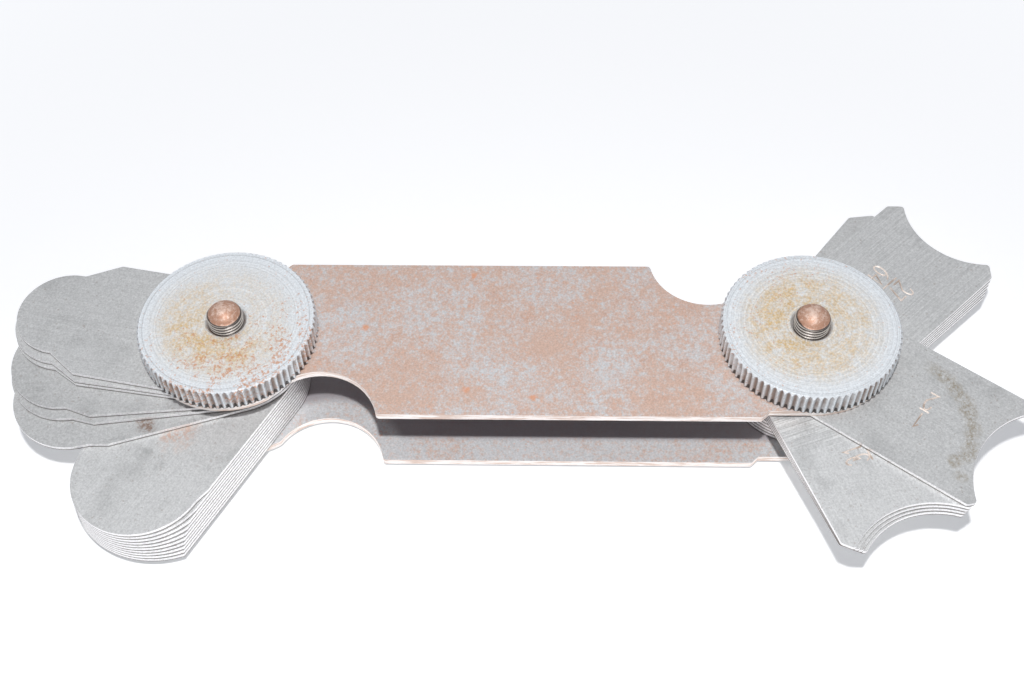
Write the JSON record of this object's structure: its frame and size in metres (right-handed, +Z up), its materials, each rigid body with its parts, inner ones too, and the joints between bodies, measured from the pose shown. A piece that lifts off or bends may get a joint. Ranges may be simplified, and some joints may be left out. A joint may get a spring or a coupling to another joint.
{
  "type": "radius gauge",
  "caption": "Hand radius gauge: fans of convex and concave steel leaves pivot between two plates and are clamped by knurled nuts on threaded studs.",
  "frame": {"origin": "on the left stud's axis, at the underside of its head, which the gauge rests on", "axes": "+X from the left stud, which carries the convex leaves, to the right stud; +Y away from the front edge; +Z up through the plates to the nuts"},
  "size_m": [0.1397, 0.0606, 0.02],
  "materials": {
    "plate_steel": "satin steel with a mottled brownish film and bright worn edges",
    "stud_steel": "turned steel, tarnished copper brown on the domed end",
    "nut_steel": "turned satin steel with fine rings on top, knurled rim, rust bloom round the stud",
    "leaf_steel": "fine satin ground steel, bright edges, a few rust stains"
  },
  "bodies": {
    "frame": {"lower_plate": "plate_steel", "upper_plate": "plate_steel", "left_stud": "stud_steel", "right_stud": "stud_steel"},
    "left_nut": {"left_nut": "nut_steel"},
    "right_nut": {"right_nut": "nut_steel"},
    "convex_leaf_17_64": {"convex_leaf_17_64": "leaf_steel"},
    "convex_leaf_18_64": {"convex_leaf_18_64": "leaf_steel"},
    "convex_leaf_19_64": {"convex_leaf_19_64": "leaf_steel"},
    "convex_leaf_20_64": {"convex_leaf_20_64": "leaf_steel"},
    "convex_leaf_21_64": {"convex_leaf_21_64": "leaf_steel"},
    "convex_leaf_22_64": {"convex_leaf_22_64": "leaf_steel"},
    "convex_leaf_23_64": {"convex_leaf_23_64": "leaf_steel"},
    "convex_leaf_24_64": {"convex_leaf_24_64": "leaf_steel"},
    "convex_leaf_25_64": {"convex_leaf_25_64": "leaf_steel"},
    "convex_leaf_26_64": {"convex_leaf_26_64": "leaf_steel"},
    "convex_leaf_27_64": {"convex_leaf_27_64": "leaf_steel"},
    "convex_leaf_28_64": {"convex_leaf_28_64": "leaf_steel"},
    "convex_leaf_29_64": {"convex_leaf_29_64": "leaf_steel"},
    "convex_leaf_30_64": {"convex_leaf_30_64": "leaf_steel"},
    "convex_leaf_31_64": {"convex_leaf_31_64": "leaf_steel"},
    "convex_leaf_32_64": {"convex_leaf_32_64": "leaf_steel"},
    "concave_leaf_32_64": {"concave_leaf_32_64": "leaf_steel"},
    "concave_leaf_31_64": {"concave_leaf_31_64": "leaf_steel"},
    "concave_leaf_30_64": {"concave_leaf_30_64": "leaf_steel"},
    "concave_leaf_29_64": {"concave_leaf_29_64": "leaf_steel"},
    "concave_leaf_28_64": {"concave_leaf_28_64": "leaf_steel"},
    "concave_leaf_27_64": {"concave_leaf_27_64": "leaf_steel"},
    "concave_leaf_26_64": {"concave_leaf_26_64": "leaf_steel"},
    "concave_leaf_25_64": {"concave_leaf_25_64": "leaf_steel"},
    "concave_leaf_24_64": {"concave_leaf_24_64": "leaf_steel"},
    "concave_leaf_23_64": {"concave_leaf_23_64": "leaf_steel"},
    "concave_leaf_22_64": {"concave_leaf_22_64": "leaf_steel"},
    "concave_leaf_21_64": {"concave_leaf_21_64": "leaf_steel"},
    "concave_leaf_20_64": {"concave_leaf_20_64": "leaf_steel"},
    "concave_leaf_19_64": {"concave_leaf_19_64": "leaf_steel"},
    "concave_leaf_18_64": {"concave_leaf_18_64": "leaf_steel"},
    "concave_leaf_17_64": {"concave_leaf_17_64": "leaf_steel"}
  },
  "joints": [
    {"name": "left_nut_turn", "type": "hinge", "parent": "frame", "child": "left_nut", "pos_m": [0, 0, 0.0155], "axis": [0, 0, 1], "range_deg": [0, 540]},
    {"name": "right_nut_turn", "type": "hinge", "parent": "frame", "child": "right_nut", "pos_m": [0.07938, 0, 0.0155], "axis": [0, 0, 1], "range_deg": [0, 540]},
    {"name": "convex_leaf_17_64_turn", "type": "hinge", "parent": "frame", "child": "convex_leaf_17_64", "pos_m": [0, 0, 0.007], "axis": [0, 0, 1], "continuous": true},
    {"name": "convex_leaf_18_64_turn", "type": "hinge", "parent": "frame", "child": "convex_leaf_18_64", "pos_m": [0, 0, 0.007], "axis": [0, 0, 1], "continuous": true},
    {"name": "convex_leaf_19_64_turn", "type": "hinge", "parent": "frame", "child": "convex_leaf_19_64", "pos_m": [0, 0, 0.007], "axis": [0, 0, 1], "continuous": true},
    {"name": "convex_leaf_20_64_turn", "type": "hinge", "parent": "frame", "child": "convex_leaf_20_64", "pos_m": [0, 0, 0.007], "axis": [0, 0, 1], "continuous": true},
    {"name": "convex_leaf_21_64_turn", "type": "hinge", "parent": "frame", "child": "convex_leaf_21_64", "pos_m": [0, 0, 0.007], "axis": [0, 0, 1], "continuous": true},
    {"name": "convex_leaf_22_64_turn", "type": "hinge", "parent": "frame", "child": "convex_leaf_22_64", "pos_m": [0, 0, 0.007], "axis": [0, 0, 1], "continuous": true},
    {"name": "convex_leaf_23_64_turn", "type": "hinge", "parent": "frame", "child": "convex_leaf_23_64", "pos_m": [0, 0, 0.007], "axis": [0, 0, 1], "continuous": true},
    {"name": "convex_leaf_24_64_turn", "type": "hinge", "parent": "frame", "child": "convex_leaf_24_64", "pos_m": [0, 0, 0.007], "axis": [0, 0, 1], "continuous": true},
    {"name": "convex_leaf_25_64_turn", "type": "hinge", "parent": "frame", "child": "convex_leaf_25_64", "pos_m": [0, 0, 0.007], "axis": [0, 0, 1], "continuous": true},
    {"name": "convex_leaf_26_64_turn", "type": "hinge", "parent": "frame", "child": "convex_leaf_26_64", "pos_m": [0, 0, 0.007], "axis": [0, 0, 1], "continuous": true},
    {"name": "convex_leaf_27_64_turn", "type": "hinge", "parent": "frame", "child": "convex_leaf_27_64", "pos_m": [0, 0, 0.007], "axis": [0, 0, 1], "continuous": true},
    {"name": "convex_leaf_28_64_turn", "type": "hinge", "parent": "frame", "child": "convex_leaf_28_64", "pos_m": [0, 0, 0.007], "axis": [0, 0, 1], "continuous": true},
    {"name": "convex_leaf_29_64_turn", "type": "hinge", "parent": "frame", "child": "convex_leaf_29_64", "pos_m": [0, 0, 0.007], "axis": [0, 0, 1], "continuous": true},
    {"name": "convex_leaf_30_64_turn", "type": "hinge", "parent": "frame", "child": "convex_leaf_30_64", "pos_m": [0, 0, 0.007], "axis": [0, 0, 1], "continuous": true},
    {"name": "convex_leaf_31_64_turn", "type": "hinge", "parent": "frame", "child": "convex_leaf_31_64", "pos_m": [0, 0, 0.007], "axis": [0, 0, 1], "continuous": true},
    {"name": "convex_leaf_32_64_turn", "type": "hinge", "parent": "frame", "child": "convex_leaf_32_64", "pos_m": [0, 0, 0.007], "axis": [0, 0, 1], "continuous": true},
    {"name": "concave_leaf_32_64_turn", "type": "hinge", "parent": "frame", "child": "concave_leaf_32_64", "pos_m": [0.07938, 0, 0.007], "axis": [0, 0, 1], "continuous": true},
    {"name": "concave_leaf_31_64_turn", "type": "hinge", "parent": "frame", "child": "concave_leaf_31_64", "pos_m": [0.07938, 0, 0.007], "axis": [0, 0, 1], "continuous": true},
    {"name": "concave_leaf_30_64_turn", "type": "hinge", "parent": "frame", "child": "concave_leaf_30_64", "pos_m": [0.07938, 0, 0.007], "axis": [0, 0, 1], "continuous": true},
    {"name": "concave_leaf_29_64_turn", "type": "hinge", "parent": "frame", "child": "concave_leaf_29_64", "pos_m": [0.07938, 0, 0.007], "axis": [0, 0, 1], "continuous": true},
    {"name": "concave_leaf_28_64_turn", "type": "hinge", "parent": "frame", "child": "concave_leaf_28_64", "pos_m": [0.07938, 0, 0.007], "axis": [0, 0, 1], "continuous": true},
    {"name": "concave_leaf_27_64_turn", "type": "hinge", "parent": "frame", "child": "concave_leaf_27_64", "pos_m": [0.07938, 0, 0.007], "axis": [0, 0, 1], "continuous": true},
    {"name": "concave_leaf_26_64_turn", "type": "hinge", "parent": "frame", "child": "concave_leaf_26_64", "pos_m": [0.07938, 0, 0.007], "axis": [0, 0, 1], "continuous": true},
    {"name": "concave_leaf_25_64_turn", "type": "hinge", "parent": "frame", "child": "concave_leaf_25_64", "pos_m": [0.07938, 0, 0.007], "axis": [0, 0, 1], "continuous": true},
    {"name": "concave_leaf_24_64_turn", "type": "hinge", "parent": "frame", "child": "concave_leaf_24_64", "pos_m": [0.07938, 0, 0.007], "axis": [0, 0, 1], "continuous": true},
    {"name": "concave_leaf_23_64_turn", "type": "hinge", "parent": "frame", "child": "concave_leaf_23_64", "pos_m": [0.07938, 0, 0.007], "axis": [0, 0, 1], "continuous": true},
    {"name": "concave_leaf_22_64_turn", "type": "hinge", "parent": "frame", "child": "concave_leaf_22_64", "pos_m": [0.07938, 0, 0.007], "axis": [0, 0, 1], "continuous": true},
    {"name": "concave_leaf_21_64_turn", "type": "hinge", "parent": "frame", "child": "concave_leaf_21_64", "pos_m": [0.07938, 0, 0.007], "axis": [0, 0, 1], "continuous": true},
    {"name": "concave_leaf_20_64_turn", "type": "hinge", "parent": "frame", "child": "concave_leaf_20_64", "pos_m": [0.07938, 0, 0.007], "axis": [0, 0, 1], "continuous": true},
    {"name": "concave_leaf_19_64_turn", "type": "hinge", "parent": "frame", "child": "concave_leaf_19_64", "pos_m": [0.07938, 0, 0.007], "axis": [0, 0, 1], "continuous": true},
    {"name": "concave_leaf_18_64_turn", "type": "hinge", "parent": "frame", "child": "concave_leaf_18_64", "pos_m": [0.07938, 0, 0.007], "axis": [0, 0, 1], "continuous": true},
    {"name": "concave_leaf_17_64_turn", "type": "hinge", "parent": "frame", "child": "concave_leaf_17_64", "pos_m": [0.07938, 0, 0.007], "axis": [0, 0, 1], "continuous": true}
  ]
}
